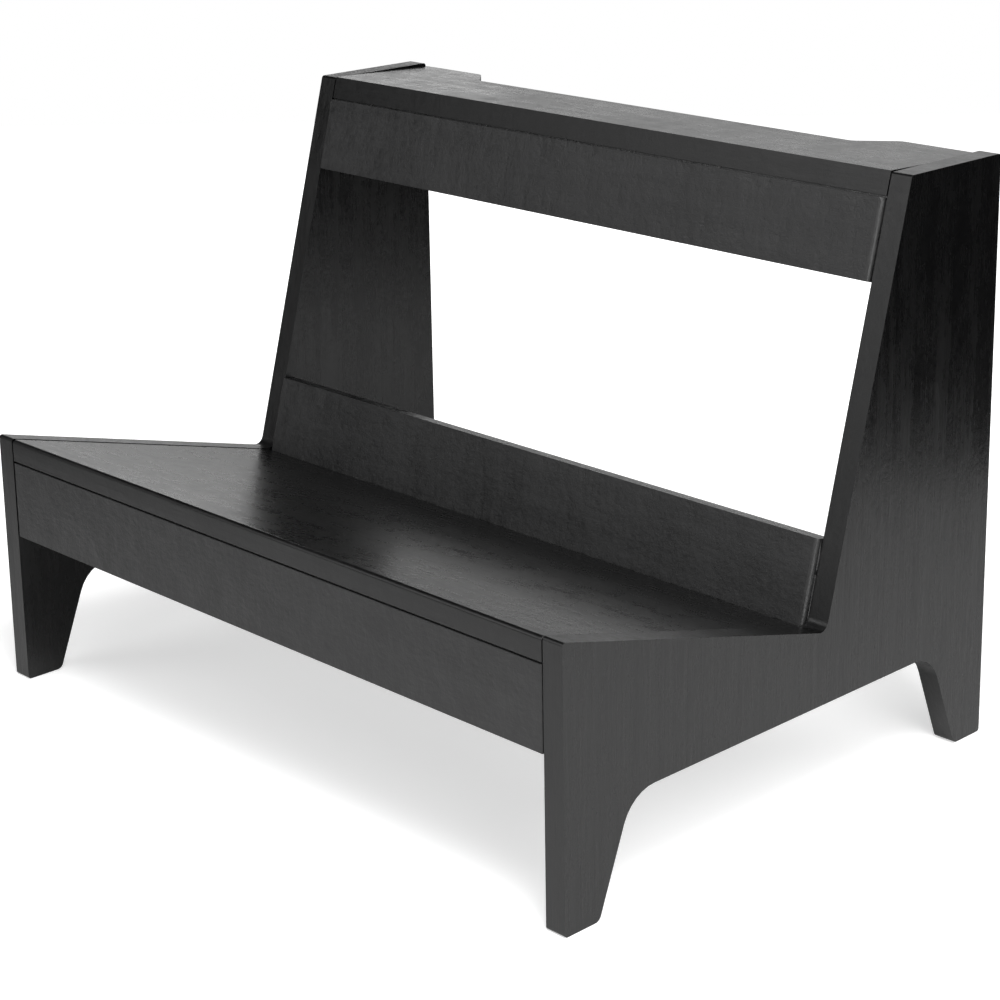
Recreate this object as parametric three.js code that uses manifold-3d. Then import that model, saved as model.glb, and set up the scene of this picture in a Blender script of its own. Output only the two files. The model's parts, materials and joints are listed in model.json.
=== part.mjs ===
// Two-level step stool of flat boards: two cut-out side panels carry a raked lower tread,
// a front apron, two back rails and a narrow upper tread with a notch in its back edge.
// Every board end is held by a cam bolt, its cam nut and a wooden dowel, all hidden from outside.
//
// Millimetres, +Z up, the front towards -Y. The origin is at the centre of the footprint, on the floor.

import * as THREE from 'three';
import { mergeVertices } from 'three/addons/utils/BufferGeometryUtils.js';
import Module from 'manifold-3d';

const wasm = await Module();
wasm.setup();

// ---------------------------------------------------------------- driving dimensions

const WIDTH = 650;                // over both side panels
const DEPTH = 463.5;              // front edge to back edge of a side panel
const PANEL_HEIGHT = 462.5;       // floor to the top edge of a side panel
const BOARD = 18;                 // thickness of every board
const LEAN = THREE.MathUtils.degToRad(15);       // the lower tread falls, and the back leans, by this

const LEDGE_FRONT_HEIGHT = 211.5; // floor to the front of the ledge that holds the lower tread
const LEDGE_RUN = 269.6;          // level distance from the front edge to the foot of the back
const UNDERSIDE_HEIGHT = 83.6;    // floor to the lower edge of a side panel between its legs
const FOOT_WIDTH = 33;            // a leg at the floor
const LEG_TOP_WIDTH = 65.3;       // a leg where it meets the underside

const LEG_CORNER_RADIUS = 32;     // inside corner between a leg and the underside
const FOOT_INNER_RADIUS = 6;      // lower corner of a leg, towards the other leg
const BACK_FOOT_RADIUS = 8;       // inside corner between the ledge and the leaning front edge
const OUTER_CORNER_RADIUS = 2.5;  // every other corner of a side panel

const TREAD_RECESS = 0.4;         // lower tread below the ledge
const APRON_BOTTOM = 127;         // floor to the lower edge of the front apron
const LOWER_RAIL_PROUD = 5;       // lower back rail in front of the panels' leaning edge
const LOWER_RAIL_TOP = 65.3;      // its upper edge, up the back from the ledge
const UPPER_RAIL_PROUD = 3.5;     // upper front rail in front of the panels' leaning edge
const UPPER_RAIL_BOTTOM = 254.2;  // its lower edge, up the back from the ledge
const UPPER_TREAD_LIFT = 0.8;     // front of the upper tread above the side panels
const UPPER_TREAD_FALL = THREE.MathUtils.degToRad(1.8);   // it dips this much towards the back

const NOTCH_DEPTH = 27;           // notch in the back edge of the upper tread
const NOTCH_FLOOR_WIDTH = 413;    // its ends flare outwards at 45 degrees from here
const NOTCH_RADIUS = 10;          // its four corners

const FACE_GAP = 0.4;             // between two faces that meet
const PIN_GAP = 0.35;             // around a fastener in its bore

const BOLT_RADIUS = 2.6;          // cam bolt: thread and shank
const BOLT_NECK_RADIUS = 1.7;
const BOLT_HEAD_RADIUS = 3;
const BOLT_IN_PANEL = 11;         // threaded length in the side panel
const BOLT_NECK_START = 29;       // along the bolt, from the panel's inner face
const BOLT_HEAD_START = 32;
const BOLT_END = 35.6;
const BOLT_BORE_RADIUS = 4;       // clearance bore in the end of a board
const CAM_SETBACK = 34;           // centre of the cam nut from the end of its board
const CAM_RADIUS = 7.2;
const CAM_HEIGHT = 12.6;
const CAM_POCKET_DEPTH = 13.4;
const CAM_CHANNEL = 7.2;          // width of the channel that takes the bolt's head
const CAM_CAP = 4.2;              // solid cap between the cam's face and the channel
const CAM_HEAD_ROOM = 2;          // channel beyond the end of the bolt
const DRIVE_SLOT = { length: 8, width: 1.7, depth: 1.8 };
const DOWEL_RADIUS = 2.9;
const DOWEL_IN_PANEL = 11;
const DOWEL_IN_BOARD = 19;
const PIN_CHAMFER = 1;            // ends of bolts and dowels
const CUT_OVERRUN = 1;            // how far a cut runs past the face it opens on

// Where each board is joined to the panels, at both ends alike.
// Tread: along it from its front edge. Apron: above the floor. Rails: up the back from the ledge.
// Upper tread: level distance from the front of the stool.
const LOWER_TREAD_JOINTS = { frontBolt: 52, dowel: 137, backBolt: 222 };
const APRON_JOINTS = { bolt: 145, dowel: 171 };
const LOWER_RAIL_JOINTS = { dowel: 8, bolt: 40 };
const UPPER_RAIL_JOINTS = { bolt: 273, dowel: 298 };
const UPPER_TREAD_JOINTS = { bolt: 391, dowel: 432 };
const RAIL_JOINT_SETBACK = 1;     // the rails' fasteners are this far behind the middle of the board

const ROUND_SIDES = 12;           // facets of pins and bores
const CAM_SIDES = 24;             // facets of cam nuts and their pockets
const ARC_STEP = THREE.MathUtils.degToRad(12);    // largest turn between two points of an arc

const INNER = WIDTH / 2 - BOARD;  // centre plane to the inner face of a side panel
const SIDES = { left: -1, right: 1 };

// ---------------------------------------------------------------- materials

function material(name, color, roughness, metalness = 0) {
  return new THREE.MeshStandardMaterial({ name, color, roughness, metalness });
}

const BLACK_PAINT = 0x1c1c1d;
const SATIN = 0.42;

const MATERIALS = {
  panelPaint: material('panel_paint', BLACK_PAINT, SATIN),
  treadPaint: material('tread_paint', BLACK_PAINT, SATIN),
  railPaint: material('rail_paint', BLACK_PAINT, SATIN),
  boltSteel: material('bolt_steel', 0xa7a9ac, 0.35, 1),
  camZinc: material('cam_zinc', 0x8f9295, 0.5, 1),
  beech: material('beech', 0xc8a06a, 0.7),
};

// ---------------------------------------------------------------- solids

// A closed geometry, moved by a matrix, as a solid that can be cut and joined.
function toSolid(geometry, matrix = new THREE.Matrix4()) {
  const bare = geometry.clone().applyMatrix4(matrix);
  bare.deleteAttribute('normal');
  bare.deleteAttribute('uv');
  const merged = mergeVertices(bare);
  return new wasm.Manifold(new wasm.Mesh({
    numProp: 3,
    vertProperties: new Float32Array(merged.attributes.position.array),
    triVerts: new Uint32Array(merged.index.array),
  }));
}

function toGeometry(solid) {
  const mesh = solid.getMesh();
  const geometry = new THREE.BufferGeometry();
  geometry.setAttribute('position', new THREE.BufferAttribute(mesh.vertProperties, 3));
  geometry.setIndex(new THREE.BufferAttribute(mesh.triVerts, 1));
  const flat = geometry.toNonIndexed();
  flat.computeVertexNormals();
  return flat;
}

// Closed outline through corners [u, v, radius], each corner with a radius turned into an arc.
function roundedOutline(corners) {
  const points = [];
  corners.forEach(([u, v, radius = 0], i) => {
    const corner = new THREE.Vector2(u, v);
    if (radius === 0) {
      points.push(corner);
      return;
    }
    const before = corners[(i + corners.length - 1) % corners.length];
    const after = corners[(i + 1) % corners.length];
    const toBefore = new THREE.Vector2(before[0] - u, before[1] - v).normalize();
    const toAfter = new THREE.Vector2(after[0] - u, after[1] - v).normalize();
    const half = Math.acos(toBefore.dot(toAfter)) / 2;
    const bisector = toBefore.clone().add(toAfter).normalize();
    const centre = corner.clone().addScaledVector(bisector, radius / Math.sin(half));
    const start = corner.clone().addScaledVector(toBefore, radius / Math.tan(half)).sub(centre);
    const turn = (Math.PI - 2 * half) * Math.sign(toAfter.cross(toBefore));
    const steps = Math.ceil(Math.abs(turn) / ARC_STEP);
    for (let k = 0; k <= steps; k += 1) {
      const spoke = start.clone().rotateAround(new THREE.Vector2(), (turn * k) / steps);
      points.push(centre.clone().add(spoke));
    }
  });
  return new THREE.Shape(points);
}

// An outline drawn in (distance from the front, height), extruded across the stool from x0 to x1.
function acrossStool(corners, x0, x1) {
  const shape = roundedOutline(corners);
  const geometry = new THREE.ExtrudeGeometry(shape, { depth: x1 - x0, bevelEnabled: false });
  const toStool = new THREE.Matrix4().makeBasis(
    new THREE.Vector3(0, 1, 0),
    new THREE.Vector3(0, 0, 1),
    new THREE.Vector3(1, 0, 0),
  ).setPosition(x0, -DEPTH / 2, 0);
  return toSolid(geometry, toStool);
}

// A cylinder about the line from a point along a unit direction, between two distances on it.
function cylinderAlong(point, direction, from, to, radius, sides = ROUND_SIDES) {
  const geometry = new THREE.CylinderGeometry(radius, radius, to - from, sides);
  const middle = point.clone().addScaledVector(direction, (from + to) / 2);
  const turn = new THREE.Quaternion().setFromUnitVectors(new THREE.Vector3(0, 1, 0), direction);
  return toSolid(geometry, new THREE.Matrix4().compose(middle, turn, new THREE.Vector3(1, 1, 1)));
}

// ---------------------------------------------------------------- side view of the stool

// Positions in the side view are (distance from the front, height).
const LEDGE_FRONT = new THREE.Vector2(0, LEDGE_FRONT_HEIGHT);
const ALONG_LEDGE = new THREE.Vector2(Math.cos(LEAN), -Math.sin(LEAN));
const UP_BACK = new THREE.Vector2(Math.sin(LEAN), Math.cos(LEAN));
const BACK_FOOT = new THREE.Vector2(LEDGE_RUN, LEDGE_FRONT_HEIGHT - LEDGE_RUN * Math.tan(LEAN));

// A point of the leaning front edge, up the back from the ledge and proud of the edge.
function onBack(up, proud) {
  return BACK_FOOT.clone().addScaledVector(UP_BACK, up).addScaledVector(ALONG_LEDGE, -proud);
}

// The point of the leaning front edge at a height.
function backEdgeAt(height) {
  return new THREE.Vector2(BACK_FOOT.x + (height - BACK_FOOT.y) * Math.tan(LEAN), height);
}

// A point below the ledge, at a level distance from the front.
function underLedge(fromFront, below) {
  return new THREE.Vector2(fromFront, LEDGE_FRONT.y - fromFront * Math.tan(LEAN) - below / Math.cos(LEAN));
}

const PANEL_OUTLINE = [
  [0, 0, OUTER_CORNER_RADIUS],
  [0, LEDGE_FRONT_HEIGHT, OUTER_CORNER_RADIUS],
  [BACK_FOOT.x, BACK_FOOT.y, BACK_FOOT_RADIUS],
  [backEdgeAt(PANEL_HEIGHT).x, PANEL_HEIGHT, OUTER_CORNER_RADIUS],
  [DEPTH, PANEL_HEIGHT, OUTER_CORNER_RADIUS],
  [DEPTH, 0, OUTER_CORNER_RADIUS],
  [DEPTH - FOOT_WIDTH, 0, FOOT_INNER_RADIUS],
  [DEPTH - LEG_TOP_WIDTH, UNDERSIDE_HEIGHT, LEG_CORNER_RADIUS],
  [LEG_TOP_WIDTH, UNDERSIDE_HEIGHT, LEG_CORNER_RADIUS],
  [FOOT_WIDTH, 0, FOOT_INNER_RADIUS],
];

// The lower tread stops against the lower back rail.
function lowerTreadOutline() {
  const end = LEDGE_RUN / Math.cos(LEAN) - LOWER_RAIL_PROUD - FACE_GAP;
  const back = LEDGE_FRONT.clone().addScaledVector(ALONG_LEDGE, end);
  return [
    underLedge(0, TREAD_RECESS).toArray(),
    back.clone().addScaledVector(UP_BACK, -TREAD_RECESS).toArray(),
    back.clone().addScaledVector(UP_BACK, -TREAD_RECESS - BOARD).toArray(),
    underLedge(0, TREAD_RECESS + BOARD).toArray(),
  ];
}

function apronOutline() {
  const below = TREAD_RECESS + BOARD + FACE_GAP;
  return [
    [0, APRON_BOTTOM],
    underLedge(0, below).toArray(),
    underLedge(BOARD, below).toArray(),
    [BOARD, APRON_BOTTOM],
  ];
}

function railOutline(bottom, top, proud) {
  return [
    onBack(bottom, proud).toArray(),
    onBack(top, proud).toArray(),
    onBack(top, proud - BOARD).toArray(),
    onBack(bottom, proud - BOARD).toArray(),
  ];
}

// The upper tread in the side view: a front edge that follows the leaning back, a plumb back edge.
const UPPER_TREAD_FRONT = backEdgeAt(PANEL_HEIGHT + UPPER_TREAD_LIFT);

function upperTreadSurface(fromFront, below) {
  const fall = (fromFront - UPPER_TREAD_FRONT.x) * Math.tan(UPPER_TREAD_FALL);
  return new THREE.Vector2(fromFront, UPPER_TREAD_FRONT.y - fall - below / Math.cos(UPPER_TREAD_FALL));
}

function upperTreadFrontBottom(below) {
  const rough = backEdgeAt(UPPER_TREAD_FRONT.y - below);
  return backEdgeAt(upperTreadSurface(rough.x, below).y);
}

function upperTreadOutline() {
  return [
    UPPER_TREAD_FRONT.toArray(),
    upperTreadSurface(DEPTH, 0).toArray(),
    upperTreadSurface(DEPTH, BOARD).toArray(),
    upperTreadFrontBottom(BOARD).toArray(),
  ];
}

// Height up the back at which a rail stops under the upper tread.
function upperRailTop() {
  const ceiling = upperTreadFrontBottom(BOARD + FACE_GAP);
  return (ceiling.y - BACK_FOOT.y) / Math.cos(LEAN);
}

// The upper tread from above, with the flared notch in its back edge.
function upperTreadPlan() {
  const end = INNER - FACE_GAP;
  const floor = NOTCH_FLOOR_WIDTH / 2;
  const mouth = floor + NOTCH_DEPTH;
  const back = DEPTH / 2;
  const notch = back - NOTCH_DEPTH;
  const shape = roundedOutline([
    [-end, 0],
    [end, 0],
    [end, back],
    [mouth, back, NOTCH_RADIUS],
    [floor, notch, NOTCH_RADIUS],
    [-floor, notch, NOTCH_RADIUS],
    [-mouth, back, NOTCH_RADIUS],
    [-end, back],
  ]);
  const geometry = new THREE.ExtrudeGeometry(shape, { depth: 2 * PANEL_HEIGHT, bevelEnabled: false });
  return toSolid(geometry);
}

// ---------------------------------------------------------------- joints between boards and panels

// The joints of each board, as centres in the side view.
// hidden points from the fasteners' plane to the face that nobody sees, where the cam nuts go in,
// and toHidden is the distance to that face.
function boardJoints() {
  const treadMiddle = TREAD_RECESS + BOARD / 2;
  const railDepth = BOARD / 2 + RAIL_JOINT_SETBACK;
  const inLowerTread = (along) => LEDGE_FRONT.clone()
    .addScaledVector(ALONG_LEDGE, along)
    .addScaledVector(UP_BACK, -treadMiddle);
  const inApron = (height) => new THREE.Vector2(BOARD / 2, height);
  const inLowerRail = (up) => onBack(up, LOWER_RAIL_PROUD - railDepth);
  const inUpperRail = (up) => onBack(up, UPPER_RAIL_PROUD - railDepth);
  const inUpperTread = (fromFront) => upperTreadSurface(fromFront, BOARD / 2);
  return {
    lower_tread: {
      hidden: UP_BACK.clone().negate(),
      toHidden: BOARD / 2,
      bolts: {
        front: inLowerTread(LOWER_TREAD_JOINTS.frontBolt),
        back: inLowerTread(LOWER_TREAD_JOINTS.backBolt),
      },
      dowels: { middle: inLowerTread(LOWER_TREAD_JOINTS.dowel) },
    },
    front_apron: {
      hidden: new THREE.Vector2(1, 0),
      toHidden: BOARD / 2,
      bolts: { lower: inApron(APRON_JOINTS.bolt) },
      dowels: { upper: inApron(APRON_JOINTS.dowel) },
    },
    lower_back_rail: {
      hidden: ALONG_LEDGE,
      toHidden: BOARD - railDepth,
      bolts: { upper: inLowerRail(LOWER_RAIL_JOINTS.bolt) },
      dowels: { lower: inLowerRail(LOWER_RAIL_JOINTS.dowel) },
    },
    upper_front_rail: {
      hidden: ALONG_LEDGE,
      toHidden: BOARD - railDepth,
      bolts: { lower: inUpperRail(UPPER_RAIL_JOINTS.bolt) },
      dowels: { upper: inUpperRail(UPPER_RAIL_JOINTS.dowel) },
    },
    upper_tread: {
      hidden: new THREE.Vector2(-Math.sin(UPPER_TREAD_FALL), -Math.cos(UPPER_TREAD_FALL)),
      toHidden: BOARD / 2,
      bolts: { front: inUpperTread(UPPER_TREAD_JOINTS.bolt) },
      dowels: { back: inUpperTread(UPPER_TREAD_JOINTS.dowel) },
    },
  };
}

const JOINTS = boardJoints();

// The point on the inner face of a side panel for a centre in the side view.
function onInnerFace(side, centre) {
  return new THREE.Vector3(side * INNER, centre.x - DEPTH / 2, centre.y);
}

// The fasteners of a board, each with its name, its side panel and where it sits.
// origin is on the inner face of the panel, and inward points along the fastener into the board.
function fastenersOf(board) {
  const { hidden, toHidden, bolts, dowels } = JOINTS[board];
  const fasteners = [];
  for (const [sideName, side] of Object.entries(SIDES)) {
    for (const [kind, centres] of Object.entries({ bolt: bolts, dowel: dowels })) {
      for (const [place, centre] of Object.entries(centres)) {
        fasteners.push({
          name: `${board}_${sideName}_${place}`,
          kind,
          sideName,
          origin: onInnerFace(side, centre),
          inward: new THREE.Vector3(-side, 0, 0),
          hidden: new THREE.Vector3(0, hidden.x, hidden.y),
          toHidden,
        });
      }
    }
  }
  return fasteners;
}

function camCentre({ origin, inward }) {
  return origin.clone().addScaledVector(inward, FACE_GAP + CAM_SETBACK);
}

// Cuts a board's bores and cam pockets.
function drillBoard(board, solid) {
  let drilled = solid;
  for (const fastener of fastenersOf(board)) {
    const { kind, origin, inward, hidden, toHidden } = fastener;
    if (kind === 'dowel') {
      const depth = DOWEL_IN_BOARD + PIN_GAP;
      drilled = drilled.subtract(cylinderAlong(origin, inward, -CUT_OVERRUN, depth, DOWEL_RADIUS + PIN_GAP));
      continue;
    }
    const floor = toHidden - CAM_POCKET_DEPTH;
    const mouth = toHidden + CUT_OVERRUN;
    const pocketRadius = CAM_RADIUS + PIN_GAP;
    const pocket = cylinderAlong(camCentre(fastener), hidden, floor, mouth, pocketRadius, CAM_SIDES);
    const bore = cylinderAlong(origin, inward, -CUT_OVERRUN, CAM_SETBACK, BOLT_BORE_RADIUS);
    drilled = drilled.subtract(pocket).subtract(bore);
  }
  return drilled;
}

// Cuts a side panel's bores for the fasteners of every board.
function drillPanel(panelSide, solid) {
  let drilled = solid;
  for (const board of Object.keys(JOINTS)) {
    for (const { kind, sideName, origin, inward } of fastenersOf(board)) {
      if (sideName === panelSide) {
        const depth = (kind === 'bolt' ? BOLT_IN_PANEL : DOWEL_IN_PANEL) + PIN_GAP;
        const radius = (kind === 'bolt' ? BOLT_RADIUS : DOWEL_RADIUS) + PIN_GAP;
        drilled = drilled.subtract(cylinderAlong(origin, inward, -depth, CUT_OVERRUN, radius));
      }
    }
  }
  return drilled;
}

// ---------------------------------------------------------------- pieces

function sidePanel(sideName) {
  const side = SIDES[sideName];
  const x0 = side < 0 ? -WIDTH / 2 : INNER;
  return drillPanel(sideName, acrossStool(PANEL_OUTLINE, x0, x0 + BOARD));
}

function plainBoard(board, outline) {
  const end = INNER - FACE_GAP;
  return drillBoard(board, acrossStool(outline, -end, end));
}

function upperTread() {
  const end = INNER - FACE_GAP;
  const blank = acrossStool(upperTreadOutline(), -end, end);
  return drillBoard('upper_tread', blank.intersect(upperTreadPlan()));
}

// A turned piece with its axis along a fastener, from a profile of [radius, distance along the axis].
function turned(profile, { origin, inward }) {
  const points = profile.map(([radius, along]) => new THREE.Vector2(radius, along));
  const geometry = new THREE.LatheGeometry(points, ROUND_SIDES);
  const turn = new THREE.Quaternion().setFromUnitVectors(new THREE.Vector3(0, 1, 0), inward);
  return toSolid(geometry, new THREE.Matrix4().compose(origin, turn, new THREE.Vector3(1, 1, 1)));
}

function camBolt(fastener) {
  return turned([
    [0, -BOLT_IN_PANEL],
    [BOLT_RADIUS - PIN_CHAMFER, -BOLT_IN_PANEL],
    [BOLT_RADIUS, 2 * PIN_CHAMFER - BOLT_IN_PANEL],
    [BOLT_RADIUS, BOLT_NECK_START],
    [BOLT_NECK_RADIUS, BOLT_NECK_START],
    [BOLT_NECK_RADIUS, BOLT_HEAD_START],
    [BOLT_HEAD_RADIUS, BOLT_HEAD_START + PIN_CHAMFER],
    [BOLT_HEAD_RADIUS, BOLT_END - PIN_CHAMFER],
    [BOLT_HEAD_RADIUS - PIN_CHAMFER, BOLT_END],
    [0, BOLT_END],
  ], fastener);
}

function dowel(fastener) {
  return turned([
    [0, -DOWEL_IN_PANEL],
    [DOWEL_RADIUS - PIN_CHAMFER, -DOWEL_IN_PANEL],
    [DOWEL_RADIUS, PIN_CHAMFER - DOWEL_IN_PANEL],
    [DOWEL_RADIUS, DOWEL_IN_BOARD - PIN_CHAMFER],
    [DOWEL_RADIUS - PIN_CHAMFER, DOWEL_IN_BOARD],
    [0, DOWEL_IN_BOARD],
  ], fastener);
}

// A cam nut: a round body set into the hidden face, with a channel for the bolt's head and a cross slot.
function camNut(fastener) {
  const { inward, hidden, toHidden } = fastener;
  const centre = camCentre(fastener);
  const sideways = new THREE.Vector3().crossVectors(hidden, inward);
  const axes = new THREE.Matrix4().makeBasis(inward, sideways, hidden).setPosition(centre);

  // A box between [low, high] along the bolt, across it and out through the hidden face.
  const camBox = (...spans) => {
    const geometry = new THREE.BoxGeometry(...spans.map(([low, high]) => high - low));
    geometry.translate(...spans.map(([low, high]) => (low + high) / 2));
    return toSolid(geometry, axes);
  };

  const face = toHidden - FACE_GAP;
  const body = cylinderAlong(centre, hidden, face - CAM_HEIGHT, face, CAM_RADIUS, CAM_SIDES);
  const channelAlong = [-2 * CAM_RADIUS, BOLT_END - CAM_SETBACK + CAM_HEAD_ROOM];
  const channel = camBox(channelAlong, [-CAM_CHANNEL / 2, CAM_CHANNEL / 2], [-BOARD, face - CAM_CAP]);
  const { length, width, depth } = DRIVE_SLOT;
  const slotLong = [-length / 2, length / 2];
  const slotShort = [-width / 2, width / 2];
  const slotOut = [face - depth, face + CUT_OVERRUN];
  const slot = camBox(slotLong, slotShort, slotOut);
  const crossSlot = camBox(slotShort, slotLong, slotOut);
  return body.subtract(channel).subtract(slot).subtract(crossSlot);
}

// ---------------------------------------------------------------- the stool

const stool = new THREE.Group();

function addPiece(name, solid, material) {
  const mesh = new THREE.Mesh(toGeometry(solid), material);
  mesh.name = name;
  stool.add(mesh);
}

for (const sideName of Object.keys(SIDES)) {
  addPiece(`side_panel_${sideName}`, sidePanel(sideName), MATERIALS.panelPaint);
}

addPiece('lower_tread', plainBoard('lower_tread', lowerTreadOutline()), MATERIALS.treadPaint);
addPiece('front_apron', plainBoard('front_apron', apronOutline()), MATERIALS.railPaint);
addPiece(
  'lower_back_rail',
  plainBoard('lower_back_rail', railOutline(-TREAD_RECESS - BOARD, LOWER_RAIL_TOP, LOWER_RAIL_PROUD)),
  MATERIALS.railPaint,
);
addPiece(
  'upper_front_rail',
  plainBoard('upper_front_rail', railOutline(UPPER_RAIL_BOTTOM, upperRailTop(), UPPER_RAIL_PROUD)),
  MATERIALS.railPaint,
);
addPiece('upper_tread', upperTread(), MATERIALS.treadPaint);

for (const board of Object.keys(JOINTS)) {
  for (const fastener of fastenersOf(board)) {
    if (fastener.kind === 'dowel') {
      addPiece(`${fastener.name}_dowel`, dowel(fastener), MATERIALS.beech);
    } else {
      addPiece(`${fastener.name}_cam_bolt`, camBolt(fastener), MATERIALS.boltSteel);
      addPiece(`${fastener.name}_cam_nut`, camNut(fastener), MATERIALS.camZinc);
    }
  }
}

export default stool;
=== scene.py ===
"""Two-level step stool of black painted boards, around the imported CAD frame."""

import json
import math

import bmesh
import bpy
from mathutils import Matrix, Vector
from mathutils.bvhtree import BVHTree


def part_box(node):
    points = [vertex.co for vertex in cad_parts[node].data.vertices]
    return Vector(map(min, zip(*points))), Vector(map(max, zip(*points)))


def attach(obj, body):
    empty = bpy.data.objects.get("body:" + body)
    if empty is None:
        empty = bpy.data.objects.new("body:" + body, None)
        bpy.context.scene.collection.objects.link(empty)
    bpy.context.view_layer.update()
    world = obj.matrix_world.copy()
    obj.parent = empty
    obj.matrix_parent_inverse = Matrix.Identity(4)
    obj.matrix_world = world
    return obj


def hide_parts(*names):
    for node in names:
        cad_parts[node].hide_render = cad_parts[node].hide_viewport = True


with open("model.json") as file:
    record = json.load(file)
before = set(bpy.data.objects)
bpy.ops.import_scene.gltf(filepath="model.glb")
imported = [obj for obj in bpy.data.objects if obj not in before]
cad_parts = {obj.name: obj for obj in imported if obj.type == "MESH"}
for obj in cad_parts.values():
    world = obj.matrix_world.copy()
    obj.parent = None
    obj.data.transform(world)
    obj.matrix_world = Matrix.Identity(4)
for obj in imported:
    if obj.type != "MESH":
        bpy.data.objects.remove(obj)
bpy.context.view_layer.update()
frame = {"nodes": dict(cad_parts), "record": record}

MM = 0.001
ROOT = "root"

# ---------------------------------------------------------------- directions, from the record

MOUNTS = {m["name"]: m for m in frame["record"]["mounts"]}
TREAD_UP = Vector(MOUNTS["lower_tread_top"]["axis"]).normalized()
TOP_UP = Vector(MOUNTS["upper_tread_top"]["axis"]).normalized()
ACROSS = Vector((1, 0, 0))
FRONT = Vector((0, -1, 0))
# Down the lower tread's slope, towards the back.
ALONG_TREAD = TREAD_UP.cross(ACROSS)

# ---------------------------------------------------------------- boards

# Each board: its material slot, the direction through its thickness, and the rounding of its edges.
BOARDS = {
    "side_panel_left": ("panel_paint", ACROSS, 1.5 * MM),
    "side_panel_right": ("panel_paint", ACROSS, 1.5 * MM),
    "lower_tread": ("tread_paint", TREAD_UP, 0.9 * MM),
    "front_apron": ("rail_paint", Vector((0, 1, 0)), 0.9 * MM),
    "lower_back_rail": ("rail_paint", ALONG_TREAD, 1.4 * MM),
    "upper_front_rail": ("rail_paint", ALONG_TREAD, 1.1 * MM),
    "upper_tread": ("tread_paint", TOP_UP, 0.9 * MM),
}
RAILS = ("lower_back_rail", "upper_front_rail")
FASTENERS = sorted(n for n in frame["nodes"] if n not in BOARDS)

# Roundings.
EASE_SEGMENTS = 4
RAIL_END_ROUND = 3.5 * MM
NOSING = 3.2 * MM
NOSING_STEPS = 6
# Each board between the panels is set back at its joints, and a land stands up in the middle there.
JOINT_RECESS = 0.9 * MM
LAND_TAPER = 0.05 * MM
LAND_REACH = 8 * MM
LAND_CLEARANCE = 0.02 * MM
# How far in from the edge of the joint's face a land starts, for each kind of joint.
TREAD_END_LAND = 1.6 * MM
RAIL_END_LAND = 1.1 * MM
EDGE_LAND = 2.5 * MM
PROUD_LAND = 4.9 * MM
# Lengths, angles and cosines that tell edges and faces apart.
SHORT_EDGE = 9 * MM
PANEL_BORE_REACH = 5 * MM
BOARD_BORE_REACH = 12.5 * MM
END_DEPTH = 0.3 * MM
TOUCHING = 0.001 * MM
NEAR = 0.1 * MM
SHARP = math.radians(32)
FLAT = math.radians(1)
SAME_WAY = 0.999
BROAD_FACE = 0.9


def ends(inset):
    """The two ends of a board, against the side panels."""
    return (ACROSS, "side_panel_right", inset), (-ACROSS, "side_panel_left", inset)


# Where each board meets a neighbour: the way it faces, the neighbour, and where its land starts.
JOINTS = {
    "lower_tread": (*ends(TREAD_END_LAND), (ALONG_TREAD, "lower_back_rail", EDGE_LAND)),
    "front_apron": (*ends(TREAD_END_LAND), (TREAD_UP, "lower_tread", EDGE_LAND)),
    "lower_back_rail": ends(RAIL_END_LAND),
    "upper_front_rail": (*ends(RAIL_END_LAND), (TREAD_UP, "upper_tread", PROUD_LAND)),
    "upper_tread": ends(TREAD_END_LAND),
}


def fastener_axes():
    """(y, z) of every fastener's axis, which runs along X."""
    axes = []
    for name in FASTENERS:
        low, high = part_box(name)
        axes.append(((low.y + high.y) / 2, (low.z + high.z) / 2))
    return axes


AXES = fastener_axes()


def in_bore(edge, reach):
    """True for an edge of a bore or a cam pocket, which stays sharp."""
    if edge.calc_length() > SHORT_EDGE:
        return False
    centre = (edge.verts[0].co + edge.verts[1].co) / 2
    return any(math.hypot(centre.y - y, centre.z - z) < reach for y, z in AXES)


def set_back(bm, facing, through):
    """Shortens a board where it meets a neighbour, so that the joint shows as a dark line."""
    reach = max(v.co.dot(facing) for v in bm.verts)
    along = (facing - through * facing.dot(through)).normalized()
    for v in bm.verts:
        if v.co.dot(facing) > reach - END_DEPTH:
            v.co -= along * (JOINT_RECESS / along.dot(facing))


def surface(node):
    """A CAD node's surface, for finding how far away it is."""
    mesh = frame["nodes"][node].data
    return BVHTree.FromPolygons([v.co for v in mesh.vertices], [p.vertices for p in mesh.polygons])


def middle_strip(bm, faces, through, inset):
    """The middle of a board's long edge, cut free of the strips next to the board's faces."""
    across = [v.co.dot(through) for f in faces for v in f.verts]
    low, high = min(across) + inset, max(across) - inset
    for level in (low, high):
        edges = {e for f in faces for e in f.edges}
        verts = {v for f in faces for v in f.verts}
        sliced = bmesh.ops.bisect_plane(
            bm, geom=[*verts, *edges, *faces], plane_co=through * level, plane_no=through
        )
        faces = [f for f in sliced["geom"] if isinstance(f, bmesh.types.BMFace)]
    return [f for f in faces if low < f.calc_center_median().dot(through) < high]


def refilled(bm, faces, facing):
    """Fills flat faces again from their outlines, because an inset can leave them overlapping."""
    inside = set(faces)
    outline = [e for e in bm.edges if sum(f in inside for f in e.link_faces) == 1]
    bmesh.ops.delete(bm, geom=faces, context="FACES_KEEP_BOUNDARY")
    filled = bmesh.ops.triangle_fill(bm, edges=outline, use_beauty=True, normal=facing)
    triangles = [f for f in filled["geom"] if isinstance(f, bmesh.types.BMFace)]
    for f in triangles:
        f.smooth = True
    return triangles


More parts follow.
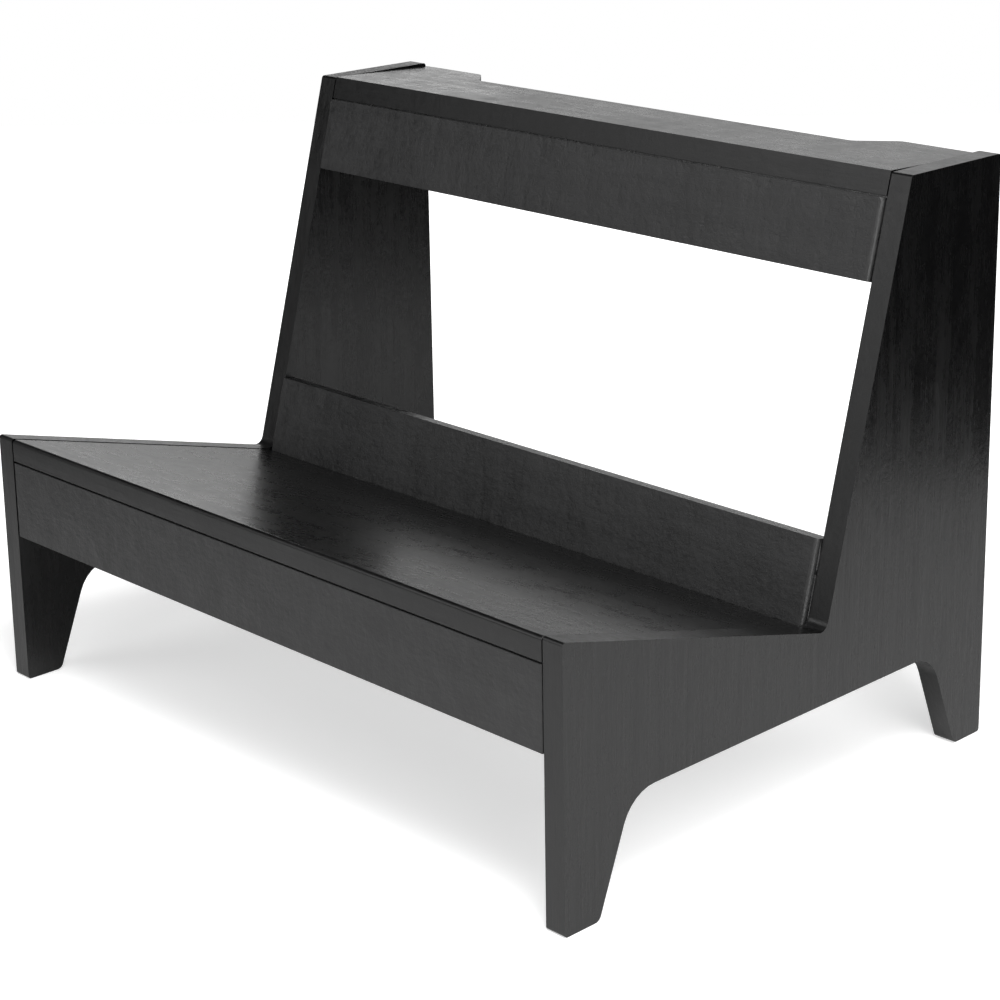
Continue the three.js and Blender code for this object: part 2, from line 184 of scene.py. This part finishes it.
def raise_land(bm, facing, through, neighbour, inset):
    """Raises the middle of a joint's face almost to the neighbour, which keeps light out."""
    target = surface(neighbour)
    reach = max(v.co.dot(facing) for v in bm.verts)
    land = [
        f
        for f in bm.faces
        if f.normal.dot(facing) > SAME_WAY
        and f.calc_center_median().dot(facing) > reach - END_DEPTH
    ]
    if facing.x:
        bmesh.ops.inset_region(bm, faces=land, thickness=inset, use_even_offset=True)
    else:
        land = middle_strip(bm, land, through, inset)
    bmesh.ops.inset_region(bm, faces=land, thickness=LAND_TAPER, use_even_offset=True)
    corners = {v for f in refilled(bm, land, facing) for v in f.verts}
    for v in corners:
        place = target.ray_cast(v.co, facing, LAND_REACH)[0]
        if place is not None:
            v.co = place - facing * LAND_CLEARANCE
    if facing.x:
        return
    end = max(v.co.x for v in bm.verts)
    for v in corners:
        v.co.x = math.copysign(end, v.co.x)


def round_off(bm, edges, width):
    """Rounds the given edges, and returns the new faces."""
    made = bmesh.ops.bevel(
        bm,
        geom=edges,
        offset=width,
        offset_type="OFFSET",
        segments=EASE_SEGMENTS,
        profile=0.5,
        affect="EDGES",
        clamp_overlap=True,
    )
    bm.normal_update()
    return made["faces"]


def round_front_ends(bm):
    """Rounds a rail's two upright front edges, proud of the side panels; returns the new faces."""
    front = min(v.co.dot(ALONG_TREAD) for v in bm.verts)
    upright = [
        e
        for e in bm.edges
        if abs(e.verts[0].co.x - e.verts[1].co.x) < END_DEPTH
        and e.calc_length() > SHORT_EDGE
        and all(v.co.dot(ALONG_TREAD) < front + END_DEPTH for v in e.verts)
    ]
    return round_off(bm, upright, RAIL_END_ROUND)


def round_nosing(bm):
    """Rounds the front top edge of the lower tread, where a foot comes down on it."""
    corner = max(bm.verts, key=lambda v: v.co.z).co.copy()
    centre = corner - (FRONT + TREAD_UP) * (NOSING / (1 + FRONT.dot(TREAD_UP)))
    for step in range(1, NOSING_STEPS):
        facing = FRONT.slerp(TREAD_UP, step / NOSING_STEPS)
        sliced = bmesh.ops.bisect_plane(
            bm,
            geom=[*bm.verts, *bm.edges, *bm.faces],
            plane_co=centre + facing * NOSING,
            plane_no=facing,
            clear_outer=True,
        )
        rims = [e for e in sliced["geom_cut"] if isinstance(e, bmesh.types.BMEdge)]
        bmesh.ops.holes_fill(bm, edges=rims)


def refined_board(node):
    """The CAD board as a new piece with rounded edges, with its rims and cut edges marked."""
    slot, through, ease = BOARDS[node]
    bm = bmesh.new()
    bm.from_mesh(frame["nodes"][node].data)
    rim = bm.faces.layers.float.new("rim")
    cut = bm.faces.layers.float.new("cut")
    bmesh.ops.remove_doubles(bm, verts=bm.verts, dist=TOUCHING)
    if node == "lower_tread":
        round_nosing(bm)
    bmesh.ops.dissolve_limit(
        bm, angle_limit=FLAT, verts=bm.verts, edges=bm.edges, delimit=set()
    )
    bmesh.ops.remove_doubles(bm, verts=bm.verts, dist=NEAR)
    joints = JOINTS.get(node, ())
    for facing, _, _ in joints:
        set_back(bm, facing, through)
    bm.normal_update()
    if node in RAILS:
        for f in round_front_ends(bm):
            f[rim] = 1.0
    reach = BOARD_BORE_REACH if joints else PANEL_BORE_REACH
    sharp = [
        e
        for e in bm.edges
        if len(e.link_faces) == 2 and e.calc_face_angle() > SHARP and not in_bore(e, reach)
    ]
    rims = round_off(bm, sharp, ease)
    for f in bm.faces:
        f.smooth = True
        f[cut] = 0.0 if abs(f.normal.dot(through)) > BROAD_FACE else 1.0
    for f in rims:
        f[rim] = 1.0
    for facing, neighbour, inset in joints:
        raise_land(bm, facing, through, neighbour, inset)
    bm.normal_update()
    for e in bm.edges:
        if len(e.link_faces) == 2 and e.calc_face_angle() > SHARP:
            e.smooth = False
    mesh = bpy.data.meshes.new(node + "_board")
    bm.to_mesh(mesh)
    bm.free()
    piece = bpy.data.objects.new(node + "_board", mesh)
    bpy.context.scene.collection.objects.link(piece)
    weighted = piece.modifiers.new("weighted", "WEIGHTED_NORMAL")
    weighted.keep_sharp = True
    weighted.weight = 100
    mesh.materials.append(MATERIALS[slot])
    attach(piece, ROOT)
    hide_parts(node)


# ---------------------------------------------------------------- materials


class Nodes:
    """Short calls for building a material's nodes."""

    def __init__(self, name):
        self.material = bpy.data.materials.new(name)
        self.material.use_nodes = True
        self.tree = self.material.node_tree
        self.tree.nodes.clear()
        self.out = self.tree.nodes.new("ShaderNodeOutputMaterial")
        self.coord = self.tree.nodes.new("ShaderNodeTexCoord").outputs["Object"]

    def add(self, kind, **values):
        node = self.tree.nodes.new(kind)
        for key, value in values.items():
            setattr(node, key, value)
        return node

    def link(self, source, target):
        self.tree.links.new(source, target)

    def scaled(self, scale, location=(0, 0, 0), rotation=(0, 0, 0)):
        mapping = self.add("ShaderNodeMapping")
        mapping.inputs["Scale"].default_value = scale
        mapping.inputs["Location"].default_value = location
        mapping.inputs["Rotation"].default_value = rotation
        self.link(self.coord, mapping.inputs["Vector"])
        return mapping.outputs["Vector"]

    def noise(self, vector, scale=1.0, detail=2.0, rough=0.5, distortion=0.0):
        node = self.add("ShaderNodeTexNoise")
        node.inputs["Scale"].default_value = scale
        node.inputs["Detail"].default_value = detail
        node.inputs["Roughness"].default_value = rough
        node.inputs["Distortion"].default_value = distortion
        self.link(vector, node.inputs["Vector"])
        return node.outputs["Fac"]

    def spread(self, value, low, high, to_low=0.0, to_high=1.0):
        node = self.add("ShaderNodeMapRange")
        node.inputs["From Min"].default_value = low
        node.inputs["From Max"].default_value = high
        node.inputs["To Min"].default_value = to_low
        node.inputs["To Max"].default_value = to_high
        self.link(value, node.inputs["Value"])
        return node.outputs["Result"]

    def math(self, operation, a, b):
        node = self.add("ShaderNodeMath", operation=operation)
        for socket, value in zip(node.inputs, (a, b)):
            if isinstance(value, (int, float)):
                socket.default_value = value
            else:
                self.link(value, socket)
        return node.outputs["Value"]

    def mix(self, factor, a, b):
        node = self.add("ShaderNodeMix", data_type="RGBA")
        for socket, value in ((node.inputs[0], factor), (node.inputs[6], a), (node.inputs[7], b)):
            if isinstance(value, (int, float)):
                socket.default_value = value
            elif isinstance(value, tuple):
                socket.default_value = (*value, 1.0)
            else:
                self.link(value, socket)
        return node.outputs[2]

    def attribute(self, name):
        return self.add("ShaderNodeAttribute", attribute_name=name).outputs["Fac"]

    def bump(self, height, strength, distance, normal=None):
        node = self.add("ShaderNodeBump")
        node.inputs["Strength"].default_value = strength
        node.inputs["Distance"].default_value = distance
        self.link(height, node.inputs["Height"])
        if normal is not None:
            self.link(normal, node.inputs["Normal"])
        return node.outputs["Normal"]


def paint(name, grain, seed, gloss, edge_gloss, tones, worn, streaks, patches):
    """Satin black paint over wood: streaks along the grain, uneven patches and worn rims."""
    n = Nodes(name)
    shift = (seed * 3.1, seed * 1.7, seed * 2.3)

    def along_grain(along, across):
        return n.scaled(tuple(along if axis == grain else across for axis in "xyz"), shift)

    def even(scale):
        return n.scaled((scale, scale, scale), shift)

    figure = n.noise(along_grain(5, 90), detail=4, rough=0.6, distortion=0.4)
    fibre = n.noise(along_grain(25, 600), detail=3, rough=0.6)
    cloud = n.noise(n.scaled((16, 16, 8), shift), detail=4, rough=0.55)
    blotch = n.noise(n.scaled((65, 65, 32), shift), detail=4, rough=0.65)
    fleck = n.noise(along_grain(170, 260), detail=3, rough=0.6)
    stipple = n.noise(even(900), detail=2, rough=0.5)
    rim = n.attribute("rim")
    cut = n.attribute("cut")

    tone = n.math("ADD", n.math("MULTIPLY", figure, 0.25), n.math("MULTIPLY", cloud, 0.25))
    tone = n.math("ADD", tone, n.math("MULTIPLY", blotch, 0.25))
    tone = n.math("ADD", tone, n.math("MULTIPLY", fleck, 0.25))
    colour = n.mix(n.spread(tone, 0.42, 0.58), *tones)
    wear = n.math("MULTIPLY", rim, n.spread(n.noise(even(140), detail=5), 0.35, 0.65))
    colour = n.mix(wear, colour, worn)

    rough = n.spread(cut, 0, 1, gloss, edge_gloss)
    rough = n.math("ADD", rough, n.math("MULTIPLY", rim, RIM_DULLING))
    for height, swing in (
        (cloud, 0.025),
        (blotch, 0.035 * patches),
        (fleck, 0.020 * patches),
        (figure, 0.025 * streaks),
        (fibre, 0.020 * streaks),
    ):
        rough = n.math("ADD", rough, n.spread(height, 0.3, 0.7, -swing, swing))

    shader = n.add("ShaderNodeBsdfPrincipled")
    shader.inputs["IOR"].default_value = 1.5
    n.link(colour, shader.inputs["Base Color"])
    n.link(rough, shader.inputs["Roughness"])
    normal = n.bump(figure, 1.0, 0.00020 * streaks)
    normal = n.bump(fibre, 1.0, 0.00004 * streaks, normal)
    normal = n.bump(blotch, 1.0, 0.00022 * patches, normal)
    normal = n.bump(fleck, 1.0, 0.00010 * patches, normal)
    normal = n.bump(stipple, 1.0, 0.00003 * patches, normal)
    n.link(normal, shader.inputs["Normal"])
    n.link(shader.outputs["BSDF"], n.out.inputs["Surface"])
    return n.material


def metal(name, base, low, high, scale):
    """Bare metal with uneven gloss."""
    n = Nodes(name)
    patches = n.noise(n.scaled(scale), detail=5, rough=0.6)
    fine = n.noise(n.scaled((1500, 1500, 1500)), detail=2)
    dark = tuple(v * 0.72 for v in base)
    shader = n.add("ShaderNodeBsdfPrincipled")
    shader.inputs["Metallic"].default_value = 1.0
    n.link(n.mix(n.spread(patches, 0.3, 0.7), dark, base), shader.inputs["Base Color"])
    n.link(n.spread(patches, 0.3, 0.7, low, high), shader.inputs["Roughness"])
    n.link(n.bump(fine, 0.3, 0.00003), shader.inputs["Normal"])
    n.link(shader.outputs["BSDF"], n.out.inputs["Surface"])
    return n.material


def beech():
    """Bare beech dowel: fine pores and streaks along X."""
    n = Nodes("beech_wood")
    streak = n.noise(n.scaled((40, 900, 900)), detail=5, rough=0.6)
    shader = n.add("ShaderNodeBsdfPrincipled")
    colour = n.mix(n.spread(streak, 0.3, 0.7), (0.42, 0.24, 0.11), (0.62, 0.42, 0.23))
    n.link(colour, shader.inputs["Base Color"])
    n.link(n.spread(streak, 0.3, 0.7, 0.5, 0.7), shader.inputs["Roughness"])
    n.link(n.bump(streak, 0.4, 0.0001), shader.inputs["Normal"])
    n.link(shader.outputs["BSDF"], n.out.inputs["Surface"])
    return n.material


# Each paint's darkest and palest tone, its tone on worn rims, and how much duller the rims are.
PANEL_TONES = ((0.0008, 0.0008, 0.0009), (0.0019, 0.0019, 0.0020))
RAIL_TONES = ((0.0065, 0.0065, 0.0067), (0.0145, 0.0145, 0.0148))
PANEL_WEAR = (0.004, 0.004, 0.004)
RAIL_WEAR = (0.014, 0.014, 0.014)
TREAD_WEAR = (0.008, 0.008, 0.008)
RIM_DULLING = 0.15
# Each paint: name, grain direction, seed, roughness of faces and of cut edges, tones, worn tone,
# and how strong its streaks and its patches are.
MATERIALS = {
    "panel_paint": paint("panel_satin_black", "z", 1, 0.27, 0.35, PANEL_TONES, PANEL_WEAR, 1.7, 1.0),
    "tread_paint": paint("tread_satin_black", "x", 2, 0.29, 0.36, PANEL_TONES, TREAD_WEAR, 0.9, 0.9),
    "rail_paint": paint("rail_satin_black", "x", 3, 0.45, 0.30, RAIL_TONES, RAIL_WEAR, 0.6, 3.0),
    "bolt_steel": metal("plated_steel", (0.62, 0.63, 0.65), 0.25, 0.4, (200, 200, 200)),
    "cam_zinc": metal("cast_zinc", (0.42, 0.43, 0.45), 0.42, 0.6, (300, 300, 300)),
    "beech": beech(),
}

for board in BOARDS:
    refined_board(board)

SLOT_OF = {s["node"]: s["material_slot"] for s in frame["record"]["subparts"]}
for name in FASTENERS:
    for material_slot in frame["nodes"][name].material_slots:
        material_slot.material = MATERIALS[SLOT_OF[name]]

# ---------------------------------------------------------------- floor, light and camera

# The floor is a strip that runs away from the camera.
FLOOR_TURN = math.radians(45.6)
FLOOR_HALF_WIDTH = 1.05
FLOOR_NEAR = -2.2
FLOOR_FAR = 2.6
FLOOR_LEVEL = -0.5 * MM
FLOOR_COLUMNS = 24
FLOOR_ROWS = 40
# How white the camera sees it near the object, and from where to where it turns fully white.
NEAR_WHITENING = 0.5
WHITE_FROM_TO = (0.35, 1.1)
# What light and reflections see of the room.
ROOM_LIGHT = 0.03
LIT_POINT = Vector((0, 0, 0.22))
LAMP_DISTANCE = 2.2
# Each softbox: azimuth and elevation in degrees, width and height in metres, power in watts.
SOFTBOXES = {
    "key": (60, 58, 1.1, 1.0, 48),
    "right_upper": (60, 32, 1.15, 0.9, 12.6),
    "right_side": (90, 32, 1.15, 0.9, 8.5),
    "front_left_upper": (330, 32, 1.15, 0.9, 8.0),
    "front_low": (0, 9, 1.15, 0.62, 8.0),
    "front_left_low": (322, 9, 1.15, 0.62, 2.2),
    "back_left_upper": (210, 32, 1.15, 0.9, 3.9),
    "back_left_low": (240, 9, 1.15, 0.62, 3.6),
    "back_low": (210, 9, 1.15, 0.62, 2.1),
    "left_low": (270, 9, 1.15, 0.62, 0.8),
    "right_low": (72, 5, 1.15, 0.62, 14),
    "rear_fill": (180, 32, 1.15, 0.9, 5.5),
}


def camera_only(tree, normal_look, camera_look):
    """A value that the camera alone sees, in place of the one that light and reflections see."""
    path = tree.nodes.new("ShaderNodeLightPath")
    pick = tree.nodes.new("ShaderNodeMix")
    tree.links.new(path.outputs["Is Camera Ray"], pick.inputs[0])
    for socket, look in zip(pick.inputs[2:4], (normal_look, camera_look)):
        if isinstance(look, (int, float)):
            socket.default_value = look
        else:
            tree.links.new(look, socket)
    return pick.outputs[0]


def floor():
    """A plain pale strip of floor, part of the stage; for the camera it fades to white outwards."""
    turn = Matrix.Rotation(FLOOR_TURN, 4, "Z")
    bm = bmesh.new()
    grid = []
    for row in range(FLOOR_ROWS + 1):
        along = FLOOR_NEAR + (FLOOR_FAR - FLOOR_NEAR) * row / FLOOR_ROWS
        across = [FLOOR_HALF_WIDTH * (2 * i / FLOOR_COLUMNS - 1) for i in range(FLOOR_COLUMNS + 1)]
        grid.append([bm.verts.new(turn @ Vector((x, along, FLOOR_LEVEL))) for x in across])
    for near, far in zip(grid, grid[1:]):
        for i in range(FLOOR_COLUMNS):
            bm.faces.new((near[i], near[i + 1], far[i + 1], far[i]))
    mesh = bpy.data.meshes.new("floor")
    bm.to_mesh(mesh)
    bm.free()
    plane = bpy.data.objects.new("floor", mesh)
    bpy.context.scene.collection.objects.link(plane)
    n = Nodes("pale_floor")
    shader = n.add("ShaderNodeBsdfPrincipled")
    speck = n.noise(n.scaled((30, 30, 30)), detail=3)
    n.link(n.mix(speck, (0.79, 0.79, 0.79), (0.81, 0.81, 0.81)), shader.inputs["Base Color"])
    shader.inputs["Roughness"].default_value = 0.9
    shader.inputs["Specular IOR Level"].default_value = 0.1
    shader.inputs["Emission Color"].default_value = (1, 1, 1, 1)
    away = n.add("ShaderNodeVectorMath", operation="LENGTH")
    n.link(n.coord, away.inputs[0])
    whitening = n.spread(away.outputs["Value"], *WHITE_FROM_TO, NEAR_WHITENING, 1.0)
    n.link(camera_only(n.tree, 0.0, whitening), shader.inputs["Emission Strength"])
    n.link(shader.outputs["BSDF"], n.out.inputs["Surface"])
    mesh.materials.append(n.material)


def studio_world():
    """White behind the object; a dim studio for light and reflections."""
    world = bpy.data.worlds.new("studio")
    bpy.context.scene.world = world
    world.use_nodes = True
    tree = world.node_tree
    background = tree.nodes["Background"]
    background.inputs["Color"].default_value = (1, 1, 1, 1)
    tree.links.new(camera_only(tree, ROOM_LIGHT, 1.0), background.inputs["Strength"])


def softbox(name, azimuth, elevation, width, height, power):
    """A rectangular lamp on a dome round the object, aimed at its middle; azimuth 0 is in front."""
    side, up = math.radians(azimuth), math.radians(elevation)
    away = Vector((math.sin(side) * math.cos(up), -math.cos(side) * math.cos(up), math.sin(up)))
    lamp_data = bpy.data.lights.new(name, "AREA")
    lamp_data.shape = "RECTANGLE"
    lamp_data.size, lamp_data.size_y = width, height
    lamp_data.energy = power
    lamp = bpy.data.objects.new(name, lamp_data)
    bpy.context.scene.collection.objects.link(lamp)
    lamp.location = LIT_POINT + away * LAMP_DISTANCE
    lamp.rotation_euler = (-away).to_track_quat("-Z", "Y").to_euler()
    lamp.visible_camera = False


floor()
studio_world()
for name, settings in SOFTBOXES.items():
    softbox(name, *settings)

# The photo's view: where the camera stands, its directions ahead and to the right, and its lens.
CAMERA_PLACE = Vector((1.391346, -1.297973, 0.829490))
CAMERA_AHEAD = Vector((-0.6870640, 0.6721355, -0.2760017))
CAMERA_RIGHT = Vector((0.7017952, 0.7122700, -0.0124504))
SENSOR_WIDTH = 36
LENS = 90.797
SHIFT = (-0.032935, -0.133532)

camera_data = bpy.data.cameras.new("camera")
camera_data.sensor_width = SENSOR_WIDTH
camera_data.lens = LENS
camera_data.shift_x, camera_data.shift_y = SHIFT
camera = bpy.data.objects.new("camera", camera_data)
bpy.context.scene.collection.objects.link(camera)
turn = Matrix((CAMERA_RIGHT, CAMERA_RIGHT.cross(CAMERA_AHEAD), -CAMERA_AHEAD)).transposed()
camera.matrix_world = Matrix.Translation(CAMERA_PLACE) @ turn.to_4x4()
bpy.context.scene.camera = camera
bpy.context.scene.view_settings.view_transform = "Standard"

bpy.context.view_layer.update()
